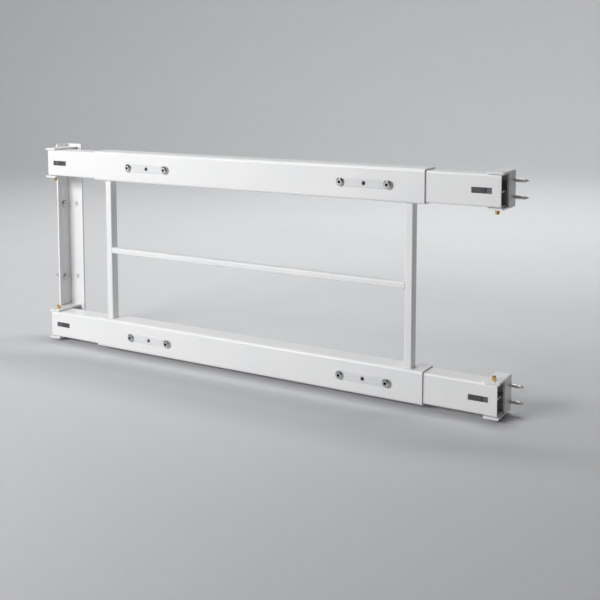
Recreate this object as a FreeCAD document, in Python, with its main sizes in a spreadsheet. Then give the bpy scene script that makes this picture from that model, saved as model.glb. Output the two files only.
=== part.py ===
"""Telescoping swing-away guard for a basement window.

Two horizontal rail tubes carry four sliding arms.  Each arm ends between the ears of a
bracket and is held there by a sprung brass plunger.  The left brackets sit on an angle
rail and make the hinge.  The right brackets are the strike side.

Axes: +X runs along the rails from the hinge side, +Y runs into the window, +Z is up.
Origin: middle of the line of jamb holes, on the outer face of the angle rail.
"""
import FreeCAD, Part
import math
import os
import Sketcher

Vector = FreeCAD.Vector
doc = FreeCAD.newDocument("WindowGuard")
sheet = doc.addObject("Spreadsheet::Sheet", "Dims")


class Size:
    """A length that keeps its number and its spreadsheet formula together."""

    def __init__(self, number, formula):
        self.number = float(number)
        self.formula = formula

    def joined(self, other, symbol, number):
        return Size(number, "(%s %s %s)" % (self.formula, symbol, plain(other).formula))

    def __add__(self, other):
        return self.joined(other, "+", self.number + plain(other).number)

    def __sub__(self, other):
        return self.joined(other, "-", self.number - plain(other).number)

    def __mul__(self, other):
        return self.joined(other, "*", self.number * plain(other).number)

    def __truediv__(self, other):
        return self.joined(other, "/", self.number / plain(other).number)

    def __neg__(self):
        return self * -1


def plain(value):
    """Turn a bare number into a Size, and leave a Size as it is."""
    return value if isinstance(value, Size) else Size(value, "%.9g" % value)


rows_used = 0


def dim(name, number):
    """Write one driving dimension to the sheet and hand it back as a Size."""
    global rows_used
    rows_used += 1
    sheet.set("A%d" % rows_used, name)
    sheet.set("B%d" % rows_used, "%.9g" % number)
    sheet.setAlias("B%d" % rows_used, name)
    return Size(number, "Dims.%s" % name)


# Rails: outer tubes with round corners that the arms slide in.
rail_length = dim("rail_length", 622)
rail_height = dim("rail_height", 50.8)
rail_depth = dim("rail_depth", 40)
rail_corner = dim("rail_corner", 4)
rail_spacing = dim("rail_spacing", 295)
tube_wall = dim("tube_wall", 2)

# Arms: inner tubes, one from each end of each rail.
arm_play = dim("arm_play", 0.4)
arm_length = dim("arm_length", 364)
arm_exposed = dim("arm_exposed", 112)
arm_corner = dim("arm_corner", 3)
arm_inward = dim("arm_inward", 52)
arm_outward = dim("arm_outward", 80)

# Bars welded between the rails.
bar_width = dim("bar_width", 12.7)
bar_depth = dim("bar_depth", 15.9)
bar_wall = dim("bar_wall", 1.2)
bar_corner = dim("bar_corner", 2)
bar_setback = dim("bar_setback", 5.5)
bar_inset = dim("bar_inset", 19.5)
middle_height = dim("middle_height", 10)

# Clamp straps, their screws and the nut plates inside the arms.
strap_pitch = dim("strap_pitch", 78)
strap_inset_left = dim("strap_inset_left", 78)
strap_inset_right = dim("strap_inset_right", 57)
strap_height = dim("strap_height", 13)
strap_thick = dim("strap_thick", 2)
strap_edge = dim("strap_edge", 0.8)
strap_eye = dim("strap_eye", 6.5)
screw_shank = dim("screw_shank", 6)
screw_room = dim("screw_room", 6.4)
screw_head = dim("screw_head", 13.5)
screw_rise = dim("screw_rise", 3.6)
screw_socket = dim("screw_socket", 4)
screw_socket_depth = dim("screw_socket_depth", 2)
nut_length = dim("nut_length", 98)
nut_height = dim("nut_height", 20)
nut_thick = dim("nut_thick", 4)
nut_play = dim("nut_play", 0.3)
arm_slot_width = dim("arm_slot_width", 7)

# Angle rail on the hinge jamb.
angle_leg = dim("angle_leg", 30)
face_leg = dim("face_leg", 36)
angle_thick = dim("angle_thick", 3)
angle_overhang = dim("angle_overhang", 5)
angle_round = dim("angle_round", 4)
jamb_pitch = dim("jamb_pitch", 136)
jamb_hole = dim("jamb_hole", 5.6)
face_hole = dim("face_hole", 8)
face_hole_reach = dim("face_hole_reach", 22.5)
front_reach = dim("front_reach", 44)

# Ear brackets.
ear_thick = dim("ear_thick", 3)
ear_play = dim("ear_play", 0.4)
ear_cover = dim("ear_cover", 20)
ear_round = dim("ear_round", 3)
web_thick = dim("web_thick", 3)
web_start = dim("web_start", 26)
web_play = dim("web_play", 0.5)
bend_round = dim("bend_round", 1.5)
strike_depth = dim("strike_depth", 54)
strike_hole_reach = dim("strike_hole_reach", 47)
strike_hole_pitch = dim("strike_hole_pitch", 24)

# Wood screws through the angle rail and the strike brackets.
wood_head = dim("wood_head", 13)
wood_rise = dim("wood_rise", 3.4)
wood_shank = dim("wood_shank", 5)
wood_shoulder = dim("wood_shoulder", 5.4)
wood_length = dim("wood_length", 25)
wood_point = dim("wood_point", 6)
cross_width = dim("cross_width", 1.2)
cross_span = dim("cross_span", 5)
cross_depth = dim("cross_depth", 1.6)

# Sprung plungers, with the wedge slide that draws them back.
pin_across = dim("pin_across", 6.35)
pin_play = dim("pin_play", 0.08)
pin_inset = dim("pin_inset", 8)
pin_show = dim("pin_show", 7)
pin_point = dim("pin_point", 1.2)
collar_step = dim("collar_step", 1.325)
collar_thick = dim("collar_thick", 2.5)
collar_play = dim("collar_play", 0.1)
shelf_thick = dim("shelf_thick", 3)
shelf_length = dim("shelf_length", 42)
shelf_lead = dim("shelf_lead", 7)
shelf_gap = dim("shelf_gap", 0.3)
flange_height = dim("flange_height", 15)
cross_pin = dim("cross_pin", 3)
cross_rise = dim("cross_rise", 3)
tail_rise = dim("tail_rise", 6)
slide_travel = dim("slide_travel", 10)
plunger_travel = dim("plunger_travel", 11)
thumb_inset = dim("thumb_inset", 13)
thumb_length = dim("thumb_length", 30)
thumb_height = dim("thumb_height", 8.5)
thumb_play = dim("thumb_play", 0.3)
thumb_sunk = dim("thumb_sunk", 0.5)
plate_thick = dim("plate_thick", 2.5)
plate_top = dim("plate_top", 15)
plate_foot = dim("plate_foot", 6.5)
wedge_play = dim("wedge_play", 0.2)
rib_pitch = dim("rib_pitch", 2.2)
rib_gap = dim("rib_gap", 1)
rib_depth = dim("rib_depth", 0.6)
spring_wire = dim("spring_wire", 0.9)
spring_ease = dim("spring_ease", 0.375)
spring_turns = dim("spring_turns", 3.5)
spring_play = dim("spring_play", 0.1)
spring_room = dim("spring_room", 0.35)
doc.recompute()

# Levels worked out from the driving dimensions.
arm_height = rail_height - tube_wall * 2 - arm_play * 2
arm_depth = rail_depth - tube_wall * 2 - arm_play * 2
half_arm = arm_height / 2
half_depth = arm_depth / 2
arm_end = angle_thick + web_thick + web_play
left_rail = arm_end + arm_exposed
right_rail = left_rail + rail_length
right_arm_end = right_rail + arm_exposed
strike_face = right_arm_end + web_play + web_thick
mid_depth = rail_depth / 2 - front_reach
half_spacing = rail_spacing / 2
ear_inner = half_arm + ear_play
ear_outer = ear_inner + ear_thick
collar_across = pin_across + collar_step * 2
spring_across = pin_across + spring_ease * 2 + spring_wire
plate_level = plate_thick + nut_play + tube_wall - half_depth
pin_local = plate_level + spring_room + spring_across / 2 + spring_wire / 2
pin_setback = pin_local + rail_depth / 2
pin_level = pin_setback - front_reach
bar_gap = rail_spacing - rail_height
bar_level = bar_setback + bar_depth / 2 - front_reach
bar_span = rail_length - bar_inset * 2
angle_length = rail_spacing + ear_outer * 2 + angle_overhang * 2
hinge_depth = front_reach + angle_leg / 2 - angle_thick


def new_body(label):
    """Start a PartDesign body that carries the sub-part's name."""
    body = doc.addObject("PartDesign::Body", label)
    body.Label = label
    return body


def new_sketch(body, plane, lift=0, along=0, name="Profile"):
    """Sketch on one of the body's own planes, moved along the plane's normal and its X."""
    sketch = body.newObject("Sketcher::SketchObject", name)
    roles = [feature for feature in body.Origin.OriginFeatures if feature.Role == plane]
    sketch.AttachmentSupport = [(roles[0], "")]
    sketch.MapMode = "FlatFace"
    sketch.AttachmentOffset = FreeCAD.Placement(
        Vector(plain(along).number, 0, plain(lift).number), FreeCAD.Rotation())
    if isinstance(lift, Size):
        sketch.setExpression(".AttachmentOffset.Base.z", lift.formula)
    if isinstance(along, Size):
        sketch.setExpression(".AttachmentOffset.Base.x", along.formula)
    return sketch


def bind(sketch, kind, places, size):
    """Add one dimension to a sketch and tie it to the sheet."""
    size = plain(size)
    index = sketch.addConstraint(Sketcher.Constraint(kind, *places, size.number))
    sketch.setExpression("Constraints[%d]" % index, size.formula)


def seat(sketch, item, point, x, y):
    """Place one sketch point from the sketch origin."""
    bind(sketch, "DistanceX", (-1, 1, item, point), x)
    bind(sketch, "DistanceY", (-1, 1, item, point), y)


def polygon(sketch, corners):
    """Closed straight-sided outline with every corner placed from the sheet."""
    spots = [Vector(plain(x).number, plain(y).number, 0) for x, y in corners]
    count = len(spots)
    lines = [sketch.addGeometry(Part.LineSegment(spots[k], spots[(k + 1) % count]), False)
             for k in range(count)]
    for k in range(count):
        sketch.addConstraint(
            Sketcher.Constraint("Coincident", lines[k], 2, lines[(k + 1) % count], 1))
    for line, (x, y) in zip(lines, corners):
        seat(sketch, line, 1, x, y)


def box_outline(sketch, x0, x1, y0, y1):
    """Rectangle between two X and two Y positions."""
    polygon(sketch, [(x0, y0), (x1, y0), (x1, y1), (x0, y1)])


def circle(sketch, x, y, across):
    """Circle of a given diameter."""
    centre = Vector(plain(x).number, plain(y).number, 0)
    item = sketch.addGeometry(
        Part.Circle(centre, Vector(0, 0, 1), plain(across).number / 2), False)
    bind(sketch, "Diameter", (item,), across)
    seat(sketch, item, 3, x, y)


def obround(sketch, x0, x1, y, width):
    """Slot outline with round ends centred at x0 and x1."""
    radius = plain(width).number / 2
    first = Vector(plain(x0).number, plain(y).number, 0)
    last = Vector(plain(x1).number, plain(y).number, 0)
    up = Vector(0, radius, 0)
    axis = Vector(0, 0, 1)
    quarter = math.pi / 2
    left = sketch.addGeometry(
        Part.ArcOfCircle(Part.Circle(first, axis, radius), quarter, 3 * quarter), False)
    foot = sketch.addGeometry(Part.LineSegment(first - up, last - up), False)
    right = sketch.addGeometry(
        Part.ArcOfCircle(Part.Circle(last, axis, radius), -quarter, quarter), False)
    head = sketch.addGeometry(Part.LineSegment(last + up, first + up), False)
    ring = [left, foot, right, head]
    for k in range(4):
        sketch.addConstraint(Sketcher.Constraint("Tangent", ring[k], 2, ring[(k + 1) % 4], 1))
    sketch.addConstraint(Sketcher.Constraint("Horizontal", foot))
    sketch.addConstraint(Sketcher.Constraint("Horizontal", head))
    bind(sketch, "Radius", (left,), plain(width) / 2)
    seat(sketch, left, 3, x0, y)
    bind(sketch, "DistanceX", (-1, 1, right, 3), x1)


def round_box(sketch, width, height, radius):
    """Rectangle with round corners, centred on the sketch origin."""
    width, height, radius = plain(width), plain(height), plain(radius)
    reach_x = width.number / 2 - radius.number
    reach_y = height.number / 2 - radius.number
    axis = Vector(0, 0, 1)
    quarter = math.pi / 2
    signs = [(-1, -1), (1, -1), (1, 1), (-1, 1)]
    arcs = []
    for k, (sx, sy) in enumerate(signs):
        ring = Part.Circle(Vector(sx * reach_x, sy * reach_y, 0), axis, radius.number)
        start = (k + 2) * quarter
        arcs.append(sketch.addGeometry(Part.ArcOfCircle(ring, start, start + quarter), False))
    lines = []
    for k in range(4):
        begin = sketch.getPoint(arcs[k], 2)
        finish = sketch.getPoint(arcs[(k + 1) % 4], 1)
        lines.append(sketch.addGeometry(Part.LineSegment(begin, finish), False))
    for k in range(4):
        sketch.addConstraint(Sketcher.Constraint("Tangent", arcs[k], 2, lines[k], 1))
        sketch.addConstraint(
            Sketcher.Constraint("Tangent", lines[k], 2, arcs[(k + 1) % 4], 1))
    sketch.addConstraint(Sketcher.Constraint("Horizontal", lines[0]))
    sketch.addConstraint(Sketcher.Constraint("Vertical", lines[1]))
    sketch.addConstraint(Sketcher.Constraint("Horizontal", lines[2]))
    sketch.addConstraint(Sketcher.Constraint("Vertical", lines[3]))
    sketch.addConstraint(Sketcher.Constraint("Symmetric", arcs[0], 3, arcs[2], 3, -1, 1))
    bind(sketch, "Radius", (arcs[0],), radius)
    bind(sketch, "DistanceX", (arcs[0], 3, arcs[1], 3), width - radius * 2)
    bind(sketch, "DistanceY", (arcs[1], 3, arcs[2], 3), height - radius * 2)


def pad(body, sketch, length, middle=False, turned=False):
    """Extrude a sketch by a sheet length."""
    length = plain(length)
    feature = body.newObject("PartDesign::Pad", "Pad")
    feature.Profile = sketch
    feature.Length = length.number
    feature.setExpression("Length", length.formula)
    feature.Midplane = middle
    feature.Reversed = turned
    sketch.Visibility = False
    doc.recompute()
    return feature


def pocket(body, sketch, length, middle=False, turned=False):
    """Cut a sketch into the body, and prove that it took something away."""
    length = plain(length)
    before = body.Shape.Volume
    feature = body.newObject("PartDesign::Pocket", "Pocket")
    feature.Profile = sketch
    feature.Length = length.number
    feature.setExpression("Length", length.formula)
    feature.Midplane = middle
    feature.Reversed = turned
    sketch.Visibility = False
    doc.recompute()
    if body.Shape.Volume > before - 1e-3:
        raise RuntimeError("pocket in %s removed nothing" % body.Label)
    return feature


def revolve(body, sketch, axis="V_Axis"):
    """Turn a half profile through a full circle."""
    feature = body.newObject("PartDesign::Revolution", "Turned")
    feature.Profile = sketch
    feature.ReferenceAxis = (sketch, [axis])
    feature.Angle = 360
    sketch.Visibility = False
    doc.recompute()
    return feature


def edges_where(shape, test):
    """Names of the straight edges whose two end points pass the test."""
    found = []
    for number, edge in enumerate(shape.Edges, start=1):
        if len(edge.Vertexes) == 2 and test(edge.Vertexes[0].Point, edge.Vertexes[1].Point):
            found.append("Edge%d" % number)
    return found


def round_edges(body, names, radius):
    """Fillet named edges of the body's tip."""
    if not names:
        raise RuntimeError("no edges to round on %s" % body.Label)
    radius = plain(radius)
    base = body.Tip
    feature = body.newObject("PartDesign::Fillet", "Round")
    feature.Base = (base, names)
    feature.Radius = radius.number
    feature.setExpression("Radius", radius.formula)
    doc.recompute()
    return feature


def place(body, x, y, z, turned=False):
    """Seat a body from sheet positions, turned half round Y for the far end."""
    x, y, z = plain(x), plain(y), plain(z)
    spin = FreeCAD.Rotation(Vector(0, 1, 0), 180 if turned else 0)
    body.Placement = FreeCAD.Placement(Vector(x.number, y.number, z.number), spin)
    body.setExpression(".Placement.Base.x", x.formula)
    body.setExpression(".Placement.Base.y", y.formula)
    body.setExpression(".Placement.Base.z", z.formula)
    parts.append(body)


def near(first, second):
    return abs(first - second) < 1e-4


parts = []
# The four corners: name, height sign, and whether it lies at the far (right) end.
corners = [
    ("upper_left", 1, False),
    ("lower_left", -1, False),
    ("upper_right", 1, True),
    ("lower_right", -1, True),
]


def exit_side(height_sign, far):
    """Local Z direction in which a corner's plunger leaves its arm."""
    inward = -height_sign
    return -inward if far else inward


def tube(label, width, height, radius, wall, length, plane="YZ_Plane", middle=False):
    """Rounded rectangular tube; width runs along the plane's first axis."""
    body = new_body(label)
    profile = new_sketch(body, plane)
    round_box(profile, width, height, radius)
    round_box(profile, width - wall * 2, height - wall * 2, radius - wall)
    pad(body, profile, length, middle)
    return body


# Rail tubes, with a hole behind each strap screw and each strap eye.
for label, sign in (("rail_upper", 1), ("rail_lower", -1)):
    rail = tube(label, rail_depth, rail_height, rail_corner, tube_wall, rail_length)
    holes = new_sketch(rail, "XZ_Plane", rail_depth / 2, 0, "StrapHoles")
    for first in (strap_inset_left, rail_length - strap_inset_right - strap_pitch):
        circle(holes, first, 0, screw_room)
        circle(holes, first + strap_pitch / 2, 0, strap_eye)
        circle(holes, first + strap_pitch, 0, screw_room)
    pocket(rail, holes, tube_wall * 1.5)
    place(rail, left_rail, mid_depth, half_spacing * sign)

# Upright bars and the thin bar between them.
for label, across in (("upright_left", left_rail + bar_inset + bar_width / 2),
                      ("upright_right", right_rail - bar_inset - bar_width / 2)):
    upright = tube(label, bar_width, bar_depth, bar_corner, bar_wall, bar_gap, "XY_Plane", True)
    place(upright, across, bar_level, 0)
middle = tube("middle_bar", bar_depth, middle_height, bar_corner, bar_wall,
              bar_span - bar_width * 2)
place(middle, left_rail + bar_inset + bar_width, bar_level, 0)

# Arms: a long slot for the clamp screws, a thumb slot and the plunger hole.
for corner, sign, far in corners:
    strap_from_end = arm_exposed + (strap_inset_right if far else strap_inset_left)
    slot_start = strap_from_end - arm_inward
    slot_finish = strap_from_end + strap_pitch + arm_outward
    arm = tube("arm_" + corner, arm_depth, arm_height, arm_corner, tube_wall, arm_length)
    slots = new_sketch(arm, "XZ_Plane", half_depth, 0, "FrontSlots")
    obround(slots, slot_start, slot_finish, 0, arm_slot_width)
    thumb_from = thumb_inset
    thumb_to = thumb_inset + thumb_length
    box_outline(slots, thumb_from, thumb_to, -thumb_height / 2, thumb_height / 2)
    pocket(arm, slots, tube_wall * 1.5)
    bore = new_sketch(arm, "XY_Plane", 0, 0, "PlungerHole")
    circle(bore, pin_inset, pin_local, pin_across + pin_play * 2)
    pocket(arm, bore, half_arm * 1.1, False, exit_side(sign, far) > 0)
    place(arm, right_arm_end if far else arm_end, mid_depth, half_spacing * sign, far)

# Straps, their screws and the nut plates that the screws draw up inside the arms.
for corner, sign, far in corners:
    near_screw = (right_rail - strap_inset_right - strap_pitch if far
                  else left_rail + strap_inset_left)
    strap = new_body("strap_" + corner)
    outline = new_sketch(strap, "XZ_Plane")
    obround(outline, 0, strap_pitch, 0, strap_height)
    circle(outline, 0, 0, screw_room)
    circle(outline, strap_pitch, 0, screw_room)
    circle(outline, strap_pitch / 2, 0, strap_eye)
    pad(strap, outline, strap_thick)
    half_strap = strap_height.number / 2
    front_rim = edges_where(strap.Shape, lambda a, b: near(a.y, b.y) and near(
        a.y, -strap_thick.number) and near(abs(a.z), half_strap) and near(abs(b.z), half_strap))
    round_edges(strap, front_rim, strap_edge)
    place(strap, near_screw, -front_reach, half_spacing * sign)

    nut = new_body("nut_plate_" + corner)
    outline = new_sketch(nut, "XZ_Plane")
    end_margin = (nut_length - strap_pitch) / 2
    box_outline(outline, -end_margin, strap_pitch + end_margin, -nut_height / 2, nut_height / 2)
    circle(outline, 0, 0, screw_shank + 0.1)
    circle(outline, strap_pitch, 0, screw_shank + 0.1)
    pad(nut, outline, nut_thick, False, True)
    rim = edges_where(nut.Shape, lambda a, b: near(a.x, b.x) and near(a.z, b.z))
    round_edges(nut, rim, 2)
    nut_level = tube_wall * 2 + arm_play + nut_play - front_reach
    place(nut, near_screw, nut_level, half_spacing * sign)

    for tag, shift in (("a", 0), ("b", 1)):
        screw = new_body("strap_screw_%s_%s" % (corner, tag))
        profile = new_sketch(screw, "XY_Plane")
        under = tube_wall * 2 + arm_play + nut_play + nut_thick + strap_thick
        shoulder = screw_rise * 0.35
        crown = screw_head * 0.3
        polygon(profile, [(0, under), (0, -screw_rise), (crown, -screw_rise),
                          (screw_head / 2, -shoulder), (screw_head / 2, 0),
                          (screw_shank / 2, 0), (screw_shank / 2, under)])
        revolve(screw, profile)
        socket = new_sketch(screw, "XZ_Plane", screw_rise, 0, "Socket")
        half = screw_socket / 2
        wide = screw_socket / math.sqrt(3)
        polygon(socket, [(wide, 0), (wide / 2, half), (-wide / 2, half),
                         (-wide, 0), (-wide / 2, -half), (wide / 2, -half)])
        pocket(screw, socket, screw_socket_depth)
        place(screw, near_screw + strap_pitch * shift, -front_reach - strap_thick,
              half_spacing * sign)

# Angle rail on the hinge jamb: the side leg takes the jamb screws, the other stays open.
angle = new_body("hinge_angle")
outline = new_sketch(angle, "XY_Plane")
half_leg = angle_leg / 2
polygon(outline, [(0, -half_leg), (angle_thick, -half_leg), (angle_thick, half_leg - angle_thick),
                  (face_leg, half_leg - angle_thick), (face_leg, half_leg), (0, half_leg)])
pad(angle, outline, angle_length, True)
tips = edges_where(angle.Shape, lambda a, b: near(a.z, b.z) and (
    (near(a.x, face_leg.number) and near(b.x, face_leg.number))
    or (near(a.y, -half_leg.number) and near(b.y, -half_leg.number))))
round_edges(angle, tips, angle_round)
side_holes = new_sketch(angle, "YZ_Plane", 0, 0, "JambHoles")
front_holes = new_sketch(angle, "XZ_Plane", angle_thick - half_leg, 0, "FaceHoles")
for sign in (1, -1):
    circle(side_holes, 0, jamb_pitch / 2 * sign, jamb_hole)
    circle(front_holes, face_hole_reach, jamb_pitch / 2 * sign, face_hole)
pocket(angle, side_holes, angle_thick * 1.5, False, True)
pocket(angle, front_holes, angle_thick * 1.5)
place(angle, 0, 0, 0)

# Ear brackets: two ears joined by a web that starts behind the front of the jamb.
for corner, sign, far in corners:
    label = "strike_bracket_" if far else "hinge_bracket_"
    bracket = new_body(label + corner.split("_")[0])
    depth = strike_depth if far else hinge_depth
    ear_tip = web_thick + web_play + ear_cover
    outline = new_sketch(bracket, "XZ_Plane")
    polygon(outline, [(0, -ear_outer), (ear_tip, -ear_outer), (ear_tip, -ear_inner),
                      (web_thick, -ear_inner), (web_thick, ear_inner), (ear_tip, ear_inner),
                      (ear_tip, ear_outer), (0, ear_outer)])
    pad(bracket, outline, depth, False, True)
    outer = ear_outer.number
    bends = edges_where(bracket.Shape, lambda a, b: near(a.x, 0) and near(b.x, 0)
                        and near(abs(a.z), outer) and near(a.z, b.z))
    round_edges(bracket, bends, bend_round)
    gap = new_sketch(bracket, "XZ_Plane", 0, 0, "OpenFront")
    box_outline(gap, -web_thick, web_thick * 1.2, -ear_inner, ear_inner)
    pocket(bracket, gap, web_start)
    tip = ear_tip.number
    free_ends = edges_where(bracket.Shape, lambda a, b: near(a.x, tip) and near(b.x, tip)
                            and near(a.y, b.y) and abs(a.z - b.z) > 1)
    round_edges(bracket, free_ends, ear_round)
    bore = new_sketch(bracket, "XY_Plane", 0, 0, "PlungerHole")
    circle(bore, web_thick + web_play + pin_inset, pin_setback, pin_across + pin_play * 2)
    pocket(bracket, bore, ear_outer * 1.1, False, exit_side(sign, far) > 0)
    if far:
        fixings = new_sketch(bracket, "YZ_Plane", 0, 0, "JambHoles")
        for side in (1, -1):
            circle(fixings, strike_hole_reach, strike_hole_pitch / 2 * side, jamb_hole)
        pocket(bracket, fixings, web_thick * 1.5, False, True)
    place(bracket, strike_face if far else angle_thick, -front_reach, half_spacing * sign, far)


def wood_screw(label):
    """Cross-head wood screw whose shank points along local -X, head under side at X = 0."""
    body = new_body(label)
    profile = new_sketch(body, "XY_Plane")
    polygon(profile, [(-wood_length, 0), (wood_point - wood_length, wood_shank / 2),
                      (-angle_thick, wood_shank / 2), (-angle_thick, wood_shoulder / 2),
                      (0, wood_shoulder / 2), (0, wood_head / 2),
                      (wood_rise * 0.45, wood_head / 2), (wood_rise, wood_head * 0.3),
                      (wood_rise, 0)])
    revolve(body, profile, "H_Axis")
    drive = new_sketch(body, "YZ_Plane", wood_rise, 0, "Drive")
    arm_of_cross = cross_span / 2
    half_cross = cross_width / 2
    polygon(drive, [(-arm_of_cross, -half_cross), (-half_cross, -half_cross),
                    (-half_cross, -arm_of_cross), (half_cross, -arm_of_cross),
                    (half_cross, -half_cross), (arm_of_cross, -half_cross),
                    (arm_of_cross, half_cross), (half_cross, half_cross),
                    (half_cross, arm_of_cross), (-half_cross, arm_of_cross),
                    (-half_cross, half_cross), (-arm_of_cross, half_cross)])
    pocket(body, drive, cross_depth)
    return body


for tag, sign in (("upper", 1), ("lower", -1)):
    screw = wood_screw("jamb_screw_" + tag)
    place(screw, angle_thick, 0, jamb_pitch / 2 * sign)
    for part_of_pair, side in (("a", 1), ("b", -1)):
        screw = wood_screw("strike_screw_%s_%s" % (tag, part_of_pair))
        place(screw, strike_face - web_thick, strike_hole_reach - front_reach,
              half_spacing * sign + strike_hole_pitch / 2 * side, True)

# Latch works in each arm end.  "Out" is the local Z direction in which the plunger leaves.
pin_tip = ear_outer + pin_show
collar_face = half_arm - tube_wall - collar_play
for corner, sign, far in corners:
    out = exit_side(sign, far)
    world_out = -sign
    pin_x = right_arm_end - pin_inset if far else arm_end + pin_inset
    pin_z = half_spacing * sign
    half_pin = pin_across / 2

    plunger = new_body("plunger_" + corner)
    profile = new_sketch(plunger, "XZ_Plane")
    collar_back = collar_face - collar_thick
    polygon(profile, [(0, pin_tip * world_out), (half_pin - pin_point, pin_tip * world_out),
                      (half_pin, (pin_tip - pin_point) * world_out),
                      (half_pin, collar_face * world_out),
                      (collar_across / 2, collar_face * world_out),
                      (collar_across / 2, collar_back * world_out),
                      (half_pin, collar_back * world_out),
                      (half_pin, tail_rise * -world_out), (0, tail_rise * -world_out)])
    revolve(plunger, profile)
    eye = new_sketch(plunger, "XZ_Plane", 0, 0, "CrossHole")
    circle(eye, 0, cross_rise * -world_out, cross_pin + 0.04)
    pocket(plunger, eye, pin_across * 2, True)
    place(plunger, pin_x, pin_level, pin_z)

    dowel = new_body("cross_pin_" + corner)
    profile = new_sketch(dowel, "XZ_Plane", pin_setback - tube_wall * 2 - arm_play - 0.5)
    circle(profile, 0, 0, cross_pin)
    pad(dowel, profile, pin_setback - tube_wall * 2 - arm_play - 0.5 + half_pin * 0.9, False, True)
    place(dowel, pin_x, pin_level, pin_z + cross_rise * -world_out)

    coil = new_body("spring_" + corner)
    profile = new_sketch(coil, "XZ_Plane", 0, 0, "Wire")
    coil_foot = shelf_thick + spring_play + spring_wire / 2
    coil_rise = collar_face - collar_thick - spring_play - spring_wire / 2 - coil_foot
    circle(profile, spring_across / 2, 0, spring_wire)
    helix = coil.newObject("PartDesign::AdditiveHelix", "Coil")
    helix.Profile = profile
    helix.ReferenceAxis = (profile, ["V_Axis"])
    helix.Mode = "height-turns-angle"
    helix.Height = coil_rise.number
    helix.Turns = spring_turns.number
    helix.setExpression("Height", coil_rise.formula)
    helix.setExpression("Turns", spring_turns.formula)
    helix.Reversed = False
    doc.recompute()
    coil_base = pin_z + coil_foot * world_out
    if world_out < 0:
        coil_base = coil_base - coil_rise
    place(coil, pin_x, pin_level, coil_base)

    shelf = new_body("guide_" + corner)
    profile = new_sketch(shelf, "YZ_Plane", pin_inset - shelf_lead)
    front = plate_level + shelf_gap
    back = half_depth - tube_wall
    polygon(profile, [(front, 0), (front, shelf_thick * out), (back, shelf_thick * out),
                      (back, (shelf_thick - flange_height) * out),
                      (back - shelf_thick, (shelf_thick - flange_height) * out),
                      (back - shelf_thick, 0)])
    pad(shelf, profile, shelf_length)
    bore = new_sketch(shelf, "XY_Plane", 0, 0, "PlungerHole")
    circle(bore, pin_inset, pin_local, pin_across + pin_play * 2)
    pocket(shelf, bore, shelf_thick * 2.5, True)
    place(shelf, right_arm_end if far else arm_end, mid_depth, half_spacing * sign, far)

    slide = new_body("thumb_slide_" + corner)
    outline = new_sketch(slide, "XZ_Plane", -plate_level)
    slope = plunger_travel / slide_travel
    lean = math.hypot(slope.number, 1)
    offset = (cross_pin / 2 + wedge_play) * lean
    ramp_foot = pin_inset + (offset - cross_rise) / slope
    ramp_head = pin_inset + (offset - cross_rise + plate_top) / slope
    pad_end = thumb_inset + thumb_length - thumb_play
    pad_start = thumb_inset + slide_travel + thumb_play
    plate_end = pad_end + 3
    polygon(outline, [(ramp_foot, 0), (pin_inset + slide_travel / 2, plate_foot * out),
                      (plate_end, plate_foot * out), (plate_end, plate_foot * -out),
                      (pad_start, plate_top * -out), (ramp_head, plate_top * -out)])
    pad(slide, outline, plate_thick)
    thumb = new_sketch(slide, "XZ_Plane", half_depth - tube_wall - nut_play, 0, "Thumb")
    half_thumb = thumb_height / 2 - thumb_play
    box_outline(thumb, pad_start, pad_end, -half_thumb, half_thumb)
    pad(slide, thumb, tube_wall + nut_play - thumb_sunk)
    groove = new_sketch(slide, "XZ_Plane", half_depth - thumb_sunk, 0, "Groove")
    box_outline(groove, pad_start + rib_gap, pad_start + rib_gap * 2,
                -half_thumb * 1.05, half_thumb * 1.05)
    cut = pocket(slide, groove, rib_depth)
    ribs = slide.newObject("PartDesign::LinearPattern", "Ribs")
    ribs.Originals = [cut]
    ribs.Direction = (groove, ["H_Axis"])
    ribs.Length = rib_pitch.number * 7
    ribs.setExpression("Length", (rib_pitch * 7).formula)
    slide.Tip = ribs
    ribs.Occurrences = 8
    doc.recompute()
    place(slide, right_arm_end if far else arm_end, mid_depth, half_spacing * sign, far)

doc.recompute()
for item in doc.Objects:
    if "Invalid" in item.State or "Error" in item.State:
        raise RuntimeError("%s failed: %s" % (item.Label, item.State))
os.makedirs("parts", exist_ok=True)
for body in parts:
    if body.Shape.isNull() or not body.Shape.isValid() or len(body.Shape.Solids) != 1:
        raise RuntimeError("%s is not one sound solid" % body.Label)
    body.Shape.exportStep("parts/%s.step" % body.Label)
print("%d sub-parts written" % len(parts))
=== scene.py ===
"""Looks for the telescoping window security bar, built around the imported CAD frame."""
import math

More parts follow.
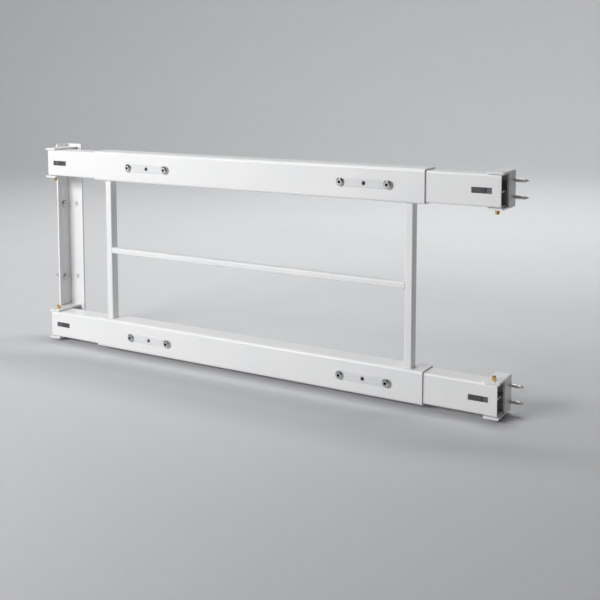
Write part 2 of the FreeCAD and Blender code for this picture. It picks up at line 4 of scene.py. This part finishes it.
import bpy
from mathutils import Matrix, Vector


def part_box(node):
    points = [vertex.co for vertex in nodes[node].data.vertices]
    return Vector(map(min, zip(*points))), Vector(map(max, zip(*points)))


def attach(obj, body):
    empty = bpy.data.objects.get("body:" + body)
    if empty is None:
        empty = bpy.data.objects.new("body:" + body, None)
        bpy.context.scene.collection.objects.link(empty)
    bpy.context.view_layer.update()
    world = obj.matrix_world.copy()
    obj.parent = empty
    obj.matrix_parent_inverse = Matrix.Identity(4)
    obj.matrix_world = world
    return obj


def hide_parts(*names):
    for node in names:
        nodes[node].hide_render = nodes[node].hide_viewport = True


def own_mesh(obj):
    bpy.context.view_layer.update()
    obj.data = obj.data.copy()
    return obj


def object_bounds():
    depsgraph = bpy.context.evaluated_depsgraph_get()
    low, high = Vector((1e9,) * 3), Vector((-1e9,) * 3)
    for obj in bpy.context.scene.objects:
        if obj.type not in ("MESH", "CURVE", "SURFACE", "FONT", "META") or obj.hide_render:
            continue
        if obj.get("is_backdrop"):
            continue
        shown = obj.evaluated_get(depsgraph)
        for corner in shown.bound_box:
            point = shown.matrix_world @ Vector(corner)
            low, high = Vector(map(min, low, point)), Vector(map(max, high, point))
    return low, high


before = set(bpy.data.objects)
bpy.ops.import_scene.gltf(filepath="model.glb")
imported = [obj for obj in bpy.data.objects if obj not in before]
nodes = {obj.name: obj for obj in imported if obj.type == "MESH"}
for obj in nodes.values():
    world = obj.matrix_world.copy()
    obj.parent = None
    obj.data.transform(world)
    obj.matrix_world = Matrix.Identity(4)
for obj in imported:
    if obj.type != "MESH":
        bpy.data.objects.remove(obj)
cad_low, cad_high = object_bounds()
MM = 0.001


# ---------------------------------------------------------------- materials
class Shader:
    """One Principled material with short calls for adding procedural nodes."""

    def __init__(self, name, **sockets):
        self.material = bpy.data.materials.new(name)
        self.material.use_nodes = True
        self.tree = self.material.node_tree
        self.tree.nodes.clear()
        self.output = self.tree.nodes.new("ShaderNodeOutputMaterial")
        self.shader = self.tree.nodes.new("ShaderNodeBsdfPrincipled")
        self.link(self.shader.outputs["BSDF"], self.output.inputs["Surface"])
        for socket, value in sockets.items():
            self.shader.inputs[socket.replace("_", " ")].default_value = value
        self.coords = self.tree.nodes.new("ShaderNodeTexCoord")

    def link(self, source, target):
        self.tree.links.new(source, target)

    def math(self, operation, first, second=0.0):
        node = self.tree.nodes.new("ShaderNodeMath")
        node.operation = operation
        for socket, value in zip(node.inputs, (first, second)):
            if isinstance(value, (int, float)):
                socket.default_value = value
            else:
                self.link(value, socket)
        return node.outputs[0]

    def scaled(self, stretch, space="Object"):
        """Texture coordinates with their own stretch along X, Y and Z."""
        node = self.tree.nodes.new("ShaderNodeMapping")
        node.inputs["Scale"].default_value = stretch
        self.link(self.coords.outputs[space], node.inputs["Vector"])
        return node.outputs[0]

    def noise(self, scale, detail=2.0, rough=0.5, vector=None):
        node = self.tree.nodes.new("ShaderNodeTexNoise")
        node.inputs["Scale"].default_value = scale
        node.inputs["Detail"].default_value = detail
        node.inputs["Roughness"].default_value = rough
        self.link(vector or self.coords.outputs["Object"], node.inputs["Vector"])
        return node.outputs["Fac"]

    def cells(self, scale, output="Color"):
        node = self.tree.nodes.new("ShaderNodeTexVoronoi")
        node.inputs["Scale"].default_value = scale
        self.link(self.coords.outputs["Object"], node.inputs["Vector"])
        return node.outputs[output]

    def spread(self, value, low, high, start=0.3, stop=0.7):
        """Map a texture value onto the range low to high."""
        node = self.tree.nodes.new("ShaderNodeMapRange")
        node.inputs["From Min"].default_value = start
        node.inputs["From Max"].default_value = stop
        node.inputs["To Min"].default_value = low
        node.inputs["To Max"].default_value = high
        self.link(value, node.inputs["Value"])
        return node.outputs["Result"]

    def blend(self, factor, first, second):
        """Colour between two colours, by a texture."""
        node = self.tree.nodes.new("ShaderNodeMix")
        node.data_type = "RGBA"
        self.link(factor, node.inputs["Factor"])
        for socket, value in ((node.inputs[6], first), (node.inputs[7], second)):
            if isinstance(value, tuple):
                socket.default_value = (*value, 1.0)
            else:
                self.link(value, socket)
        return node.outputs[2]

    def bump(self, height, depth, strength=1.0, under=None):
        node = self.tree.nodes.new("ShaderNodeBump")
        node.inputs["Distance"].default_value = depth
        node.inputs["Strength"].default_value = strength
        self.link(height, node.inputs["Height"])
        if under is not None:
            self.link(under, node.inputs["Normal"])
        return node.outputs["Normal"]

    def turned(self, axes):
        """Distance from the axis of a turned part, 0 at its middle and about 1 at its rim."""
        split = self.tree.nodes.new("ShaderNodeSeparateXYZ")
        self.link(self.coords.outputs["Generated"], split.inputs[0])
        squares = []
        for axis in axes:
            off = self.math("SUBTRACT", split.outputs[axis], 0.5)
            squares.append(self.math("MULTIPLY", off, off))
        return self.math("MULTIPLY", self.math("SQRT", self.math("ADD", *squares)), 2.0)

    def rings(self, radius, count):
        """Fine tool marks around the axis of a turned part."""
        node = self.tree.nodes.new("ShaderNodeTexNoise")
        node.noise_dimensions = "1D"
        node.inputs["Scale"].default_value = count
        node.inputs["Detail"].default_value = 3.0
        self.link(radius, node.inputs["W"])
        return node.outputs["Fac"]

    def paint(self, colour=None, roughness=None, normal=None):
        for socket, value in (("Base Color", colour), ("Roughness", roughness), ("Normal", normal)):
            if value is not None:
                self.link(value, self.shader.inputs[socket])
        return self.material


def powder_coat(name, light, dark, gloss=(0.30, 0.42), peel=1.0):
    """Baked powder coat: faint orange peel, small specks and slow drifts of tone and gloss."""
    s = Shader(name, Metallic=0.0, Coat_Weight=0.25, Coat_Roughness=0.18, Specular_IOR_Level=0.5)
    drift = s.noise(9.0, 2.0)
    tone = s.blend(s.spread(drift, 0.0, 1.0), light, dark)
    specks = s.spread(s.noise(1400.0, 1.0), 0.0, 0.05, 0.62, 0.72)
    speck_tone = tuple(channel * 0.62 for channel in dark)
    colour = s.blend(specks, tone, speck_tone)
    roughness = s.spread(s.noise(55.0, 3.0), *gloss)
    coarse = s.bump(s.noise(520.0, 2.0, 0.45), 0.00005 * peel, 0.55)
    fine = s.bump(s.noise(2100.0, 1.0), 0.000012 * peel, 0.5, coarse)
    return s.paint(colour, roughness, fine)


def turned_metal(name, light, dark, axes, gloss=(0.22, 0.36), marks=60.0, socket_shade_radius=0.0):
    """Plated metal part made on a lathe. Inside the given radius the colour is painted near-black, a
    painted shade for the hollow of a drive socket.
    """
    s = Shader(name, Metallic=1.0)
    radius = s.turned(axes)
    rings = s.rings(radius, marks)
    cloud = s.noise(260.0, 3.0)
    tone = s.blend(s.spread(cloud, 0.0, 1.0), light, dark)
    # Painted shade: near-black colour inside the socket radius stands in for the shadow in the drive
    # socket.
    if socket_shade_radius:
        tone = s.blend(s.spread(radius, 0.0, 1.0, socket_shade_radius, socket_shade_radius * 1.2), (0.03, 0.03, 0.03), tone)
    roughness = s.math("ADD", s.spread(rings, gloss[0], gloss[1]), s.spread(cloud, -0.03, 0.05))
    normal = s.bump(rings, 0.00004, 0.5, s.bump(s.noise(1500.0, 2.0), 0.00001, 0.4))
    return s.paint(tone, roughness, normal)


def drawn_metal(name, light, dark, stretch, gloss=(0.24, 0.4)):
    """Bar or wire with long fine lines from drawing."""
    s = Shader(name, Metallic=1.0)
    lines = s.noise(900.0, 3.0, 0.6, s.scaled(stretch))
    cloud = s.noise(140.0, 3.0)
    tone = s.blend(s.spread(cloud, 0.0, 1.0), light, dark)
    return s.paint(tone, s.spread(lines, *gloss), s.bump(lines, 0.00002, 0.5))


def zinc_plate(name):
    """Cold zinc plating: small grains that each catch the light a little differently."""
    s = Shader(name, Metallic=1.0)
    grain = s.cells(420.0, "Distance")
    cloud = s.noise(70.0, 4.0)
    tone = s.blend(s.spread(cloud, 0.0, 1.0), (0.62, 0.64, 0.66), (0.47, 0.47, 0.45))
    roughness = s.math("ADD", s.spread(grain, 0.3, 0.44, 0.0, 0.7), s.spread(cloud, -0.04, 0.06))
    return s.paint(tone, roughness, s.bump(grain, 0.00002, 0.5))


def moulded_plastic(name, light, dark):
    """Spark-textured moulding with a slow drift of tone."""
    s = Shader(name, Metallic=0.0, Specular_IOR_Level=0.4)
    grain = s.noise(2600.0, 2.0, 0.6)
    tone = s.blend(s.spread(s.noise(120.0, 2.0), 0.0, 1.0), light, dark)
    return s.paint(tone, s.spread(grain, 0.5, 0.66), s.bump(grain, 0.00004, 0.6))


white_coat = powder_coat("white_powder_coat", (0.86, 0.86, 0.855), (0.82, 0.825, 0.83))
strap_coat = powder_coat("strap_coat", (0.77, 0.775, 0.78), (0.72, 0.725, 0.73), (0.26, 0.38))
weld_coat = powder_coat("weld_coat", (0.84, 0.84, 0.835), (0.79, 0.795, 0.80), (0.32, 0.46), 1.8)
# The button heads get painted shade in their hex sockets, out to 0.33 of the head radius.
screw_zinc = turned_metal("screw_zinc", (0.76, 0.77, 0.78), (0.60, 0.61, 0.62), (0, 2), socket_shade_radius=0.33)
wood_screw_zinc = turned_metal("wood_screw_zinc", (0.70, 0.70, 0.69), (0.56, 0.56, 0.55), (1, 2))
thread_zinc = drawn_metal("thread_zinc", (0.72, 0.72, 0.71), (0.56, 0.56, 0.54), (0.3, 2.0, 2.0))
pin_steel = drawn_metal("pin_steel", (0.66, 0.66, 0.66), (0.5, 0.5, 0.5), (2.0, 0.1, 2.0))
spring_steel = drawn_metal("spring_steel", (0.5, 0.5, 0.51), (0.34, 0.34, 0.35), (1.0, 1.0, 3.0))
brass = turned_metal("brass", (0.86, 0.60, 0.21), (0.68, 0.43, 0.12), (0, 1), (0.2, 0.34), 40.0)
plated = zinc_plate("zinc_plate")
slide_plastic = moulded_plastic("slide_plastic", (0.130, 0.132, 0.136), (0.095, 0.097, 0.100))

FINISHES = (
    ("rail_", white_coat), ("arm_", white_coat), ("upright_", white_coat), ("middle_bar", white_coat),
    ("hinge_", white_coat), ("strike_bracket", white_coat), ("strap_screw", screw_zinc),
    ("strap_", strap_coat), ("nut_plate", plated), ("guide_", plated), ("jamb_screw", wood_screw_zinc),
    ("strike_screw", wood_screw_zinc), ("plunger_", brass), ("cross_pin", pin_steel),
    ("spring_", spring_steel), ("thumb_slide", slide_plastic),
)
for label, item in nodes.items():
    finish = next(material for start, material in FINISHES if label.startswith(start))
    for material_slot in item.material_slots:
        material_slot.material = finish


# ---------------------------------------------------------------- added pieces
def new_piece(name, points, faces, material, body, slot, smooth=True):
    """Closed mesh in the row frame that moves with one CAD body."""
    mesh = bpy.data.meshes.new(name)
    mesh.from_pydata([tuple(point) for point in points], [], faces)
    mesh.materials.append(material)
    for polygon in mesh.polygons:
        polygon.use_smooth = smooth
    mesh.update()
    piece = bpy.data.objects.new(name, mesh)
    bpy.context.scene.collection.objects.link(piece)
    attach(piece, body)
    return piece


def swept(sections, closed):
    """Points and faces of a tube through sections that all have as many points."""
    count, around = len(sections), len(sections[0])
    points = [point for section in sections for point in section]
    faces = []
    for k in range(count if closed else count - 1):
        here, there = k * around, (k + 1) % count * around
        for n in range(around):
            m = (n + 1) % around
            faces.append((here + n, here + m, there + m, there + n))
    if not closed:
        faces.append(tuple(reversed(range(around))))
        faces.append(tuple(range((count - 1) * around, count * around)))
    return points, faces


def rounded_path(half_a, half_b, corner, step):
    """Points and outward directions round a rectangle with round corners, in its own plane."""
    path = []
    for k, (sa, sb) in enumerate(((1, 1), (-1, 1), (-1, -1), (1, -1))):
        centre = (sa * (half_a - corner), sb * (half_b - corner))
        for turn in range(7):
            angle = math.pi / 2 * (k + turn / 6)
            out = (math.cos(angle), math.sin(angle))
            path.append(((centre[0] + corner * out[0], centre[1] + corner * out[1]), out))
        side = half_b if k % 2 else half_a
        straight = 2 * (side - corner)
        pieces = max(2, round(straight / step))
        (last_a, last_b), out = path[-1]
        along = (-out[1], out[0])
        for n in range(1, pieces):
            reach = straight * n / pieces
            path.append(((last_a + along[0] * reach, last_b + along[1] * reach), out))
    return path


def bead_section(place, out, lift, size):
    """Fillet-weld section in the corner between a bar (out) and a wall (lift)."""
    spots = ((-0.25, -0.25), (1.0, -0.25), (0.98, 0.12), (0.72, 0.5), (0.5, 0.72), (0.12, 0.98),
             (-0.25, 1.0))
    return [place + out * (size * a) + lift * (size * b) for a, b in spots]


def weld_ring(name, centre, half_a, half_b, axis_a, axis_b, lift, corner, body):
    """Weld run all round the end of a bar that stands on a flat wall."""
    sections = []
    for k, ((a, b), (out_a, out_b)) in enumerate(rounded_path(half_a, half_b, corner, 0.7 * MM)):
        place = centre + axis_a * a + axis_b * b
        out = axis_a * out_a + axis_b * out_b
        size = 1.25 * MM * (1 + 0.11 * math.sin(k * 1.9) + 0.07 * math.sin(k * 0.43))
        sections.append(bead_section(place, out, lift, size))
    return new_piece(name, *swept(sections, True), weld_coat, body, "white_coat")


def weld_run(name, start, stop, out, lift, body):
    """Straight weld run that thins out at both ends."""
    sections = []
    steps = 22
    for k in range(steps + 1):
        share = k / steps
        swell = min(1.0, 0.35 + 6 * min(share, 1 - share))
        size = 1.25 * MM * swell * (1 + 0.1 * math.sin(k * 1.9))
        sections.append(bead_section(start.lerp(stop, share), out, lift, size))
    return new_piece(name, *swept(sections, False), weld_coat, body, "white_coat")


def thread(name, axis_start, direction, length, core, point, body):
    """Raised helix of a wood screw, from its plain neck to near its point."""
    side = Vector((0, 1, 0))
    over = direction.cross(side)
    pitch, height, per_turn = 2.3 * MM, 0.5 * MM, 20
    steps = int(length / pitch * per_turn)
    sections = []
    for k in range(steps + 1):
        angle = 2 * math.pi * k / per_turn
        travel = pitch * k / per_turn
        radius = core * min(1.0, max(0.12, (length + 1.2 * MM - travel) / point))
        out = side * math.cos(angle) + over * math.sin(angle)
        rise = height * min(1.0, 0.15 + k / per_turn, 0.3 + (steps - k) / per_turn)
        middle = axis_start + direction * travel
        half = 0.55 * MM
        sections.append([middle + out * (radius - 0.25 * MM) - direction * half,
                         middle + out * (radius + rise) - direction * (0.08 * MM),
                         middle + out * (radius + rise) + direction * (0.08 * MM),
                         middle + out * (radius - 0.25 * MM) + direction * half])
    return new_piece(name, *swept(sections, False), thread_zinc, body, "screw_zinc", False)


X, Y, Z = Vector((1, 0, 0)), Vector((0, 1, 0)), Vector((0, 0, 1))
BAR_CORNER = 2 * MM
for side in ("left", "right"):
    low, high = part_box("upright_" + side)
    middle, half = (low + high) / 2, (high - low) / 2
    for tag, level, lift in (("upper", high.z, -Z), ("lower", low.z, Z)):
        weld_ring("weld_%s_%s" % (tag, side), Vector((middle.x, middle.y, level)), half.x, half.y,
                  X, Y, lift, BAR_CORNER, "guard_frame")
    bar_low, bar_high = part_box("middle_bar")
    meet, lift = (bar_low.x, X) if side == "left" else (bar_high.x, -X)
    for tag, level, out in (("top", bar_high.z, Z), ("foot", bar_low.z, -Z)):
        weld_run("weld_bar_%s_%s" % (tag, side),
                 Vector((meet, bar_low.y + BAR_CORNER, level)),
                 Vector((meet, bar_high.y - BAR_CORNER, level)), out, lift, "guard_frame")

WOOD_CORE, WOOD_POINT, NECK = 2.5 * MM, 6 * MM, 1.5 * MM
for label in sorted(nodes):
    if label.startswith("jamb_screw"):
        low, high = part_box(label)
        begin = Vector((-NECK, (low.y + high.y) / 2, (low.z + high.z) / 2))
        thread("thread_" + label, begin, -X, begin.x - low.x - 1.2 * MM, WOOD_CORE, WOOD_POINT,
               "hinge_side")
    if label.startswith("strike_screw"):
        low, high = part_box(label)
        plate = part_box("strike_bracket_upper")[1].x
        begin = Vector((plate + NECK, (low.y + high.y) / 2, (low.z + high.z) / 2))
        thread("thread_" + label, begin, X, high.x - begin.x - 1.2 * MM, WOOD_CORE, WOOD_POINT,
               "strike_upper" if "upper" in label else "strike_lower")


SPRING_WIRE = 0.9 * MM
SPRING_TURNS, CLOSED_TURNS, CLOSED_PITCH = 5.0, 0.75, 0.95 * MM


def coil_spring(corner, body):
    """Latch spring with closed end turns. In the real latch it shortens as the pin draws back; here it
    is a fixed coil at the length of the CAD spring.
    """
    low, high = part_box("spring_" + corner)
    middle = (low + high) / 2
    half = SPRING_WIRE / 2
    radius = (high.x - low.x) / 2 - half
    closed_rise = CLOSED_PITCH * CLOSED_TURNS
    open_rise = high.z - low.z - SPRING_WIRE - 2 * closed_rise
    open_turns = SPRING_TURNS - 2 * CLOSED_TURNS
    per_turn, around = 24, 10
    sections = []
    for k in range(int(SPRING_TURNS * per_turn) + 1):
        turn = k / per_turn
        part = min(max(turn - CLOSED_TURNS, 0.0), open_turns)
        level = low.z + half + CLOSED_PITCH * (turn - part) + open_rise * part / open_turns
        out = X * math.cos(2 * math.pi * turn) + Y * math.sin(2 * math.pi * turn)
        hub = Vector((middle.x, middle.y, level))
        sections.append([hub + out * (radius + half * math.cos(2 * math.pi * n / around))
                         + Z * (half * math.sin(2 * math.pi * n / around)) for n in range(around)])
    piece = new_piece("coil_" + corner, *swept(sections, False), spring_steel, body, "spring_steel")
    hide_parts("spring_" + corner)
    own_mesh(piece)


for corner, body in (("upper_left", "left_arms"), ("lower_left", "left_arms"),
                     ("upper_right", "right_arm_upper"), ("lower_right", "right_arm_lower")):
    coil_spring(corner, body)


# ---------------------------------------------------------------- stage, light and camera
def bowl_floor():
    """Pale round floor that curves up far away on every side."""
    centre = (cad_low + cad_high) / 2
    flat, curve, wall_top = 3.4, 2.6, 5.0
    rim = [(0.0, 0.0), (flat, 0.0)]
    rim += [(flat + curve * math.sin(a), curve - curve * math.cos(a))
            for a in [math.pi / 2 * k / 12 for k in range(1, 13)]]
    rim.append((flat + curve, wall_top))
    around = 72
    points = [(centre.x, centre.y, cad_low.z)]
    faces = []
    for radius, height in rim[1:]:
        for k in range(around):
            angle = 2 * math.pi * k / around
            points.append((centre.x + radius * math.cos(angle),
                           centre.y + radius * math.sin(angle), cad_low.z + height))
    for k in range(around):
        faces.append((0, 1 + k, 1 + (k + 1) % around))
    for ring in range(len(rim) - 2):
        start = 1 + ring * around
        for k in range(around):
            m = (k + 1) % around
            faces.append((start + k, start + around + k, start + around + m, start + m))
    mesh = bpy.data.meshes.new("floor")
    mesh.from_pydata(points, [], faces)
    for polygon in mesh.polygons:
        polygon.use_smooth = True
    s = Shader("studio_floor", Metallic=0.0, Specular_IOR_Level=0.2)
    near = s.blend(s.spread(s.noise(1.5, 3.0), 0.0, 1.0), (0.60, 0.605, 0.61), (0.57, 0.575, 0.58))
    split = s.tree.nodes.new("ShaderNodeSeparateXYZ")
    s.link(s.coords.outputs["Object"], split.inputs[0])
    reach = s.math("SQRT", s.math("ADD", s.math("POWER", split.outputs[0], 2.0),
                                  s.math("POWER", split.outputs[1], 2.0)))
    tone = s.blend(s.spread(reach, 0.0, 1.0, 1.2, 4.5), near, (0.70, 0.705, 0.71))
    mesh.materials.append(s.paint(tone, s.spread(s.noise(30.0, 2.0), 0.7, 0.85)))
    floor = bpy.data.objects.new("floor", mesh)
    bpy.context.scene.collection.objects.link(floor)
    floor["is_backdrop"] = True


def softbox(name, place, target, width, height, power):
    """Large rectangular studio light."""
    data = bpy.data.lights.new(name, "AREA")
    data.shape = "RECTANGLE"
    data.size, data.size_y = width, height
    data.energy = power
    lamp = bpy.data.objects.new(name, data)
    bpy.context.scene.collection.objects.link(lamp)
    lamp.location = place
    lamp.visible_camera = False
    lamp.rotation_mode = "QUATERNION"
    lamp.rotation_quaternion = (Vector(target) - Vector(place)).to_track_quat("-Z", "Y")


bowl_floor()
# Key from the front left, a weak side fill, a broad top, and one that lights the floor's far wall.
softbox("key", (-0.45, -1.9, 0.85), (0.2, 0, 0.0), 1.1, 0.6, 35)
softbox("side", (-1.3, -1.6, 0.4), (0.2, 0, 0), 1.0, 0.8, 6)
softbox("top", (0.1, 0.2, 2.4), (0.4, 0, 0), 2.2, 1.2, 19)
softbox("backdrop", (0.4, 1.0, 2.6), (-0.6, 3.6, 0.8), 2.4, 1.2, 112)

bpy.context.scene.view_settings.view_transform = "Standard"
world = bpy.data.worlds.new("studio")
bpy.context.scene.world = world
world.use_nodes = True
world.node_tree.nodes["Background"].inputs["Color"].default_value = (0.92, 0.95, 1.0, 1.0)
world.node_tree.nodes["Background"].inputs["Strength"].default_value = 0.03

SENSOR, IMAGE, FOCAL_PIXELS = 36.0, 600.0, 977.4
FRAME_SHIFT = -0.22
LOOK_DOWN, LOOK_LEFT = math.radians(5.586), math.radians(30.606)
camera_data = bpy.data.cameras.new("camera")
camera_data.sensor_width = SENSOR
camera_data.lens = FOCAL_PIXELS / IMAGE * SENSOR
camera_data.shift_y = FRAME_SHIFT
camera_data.clip_start, camera_data.clip_end = 0.01, 100
camera = bpy.data.objects.new("camera", camera_data)
bpy.context.scene.collection.objects.link(camera)
camera.location = (1.2903, -1.3205, 0.3093)
camera.rotation_euler = (math.pi / 2 - LOOK_DOWN, 0, LOOK_LEFT)
bpy.context.scene.camera = camera

bpy.context.view_layer.update()
low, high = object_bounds()
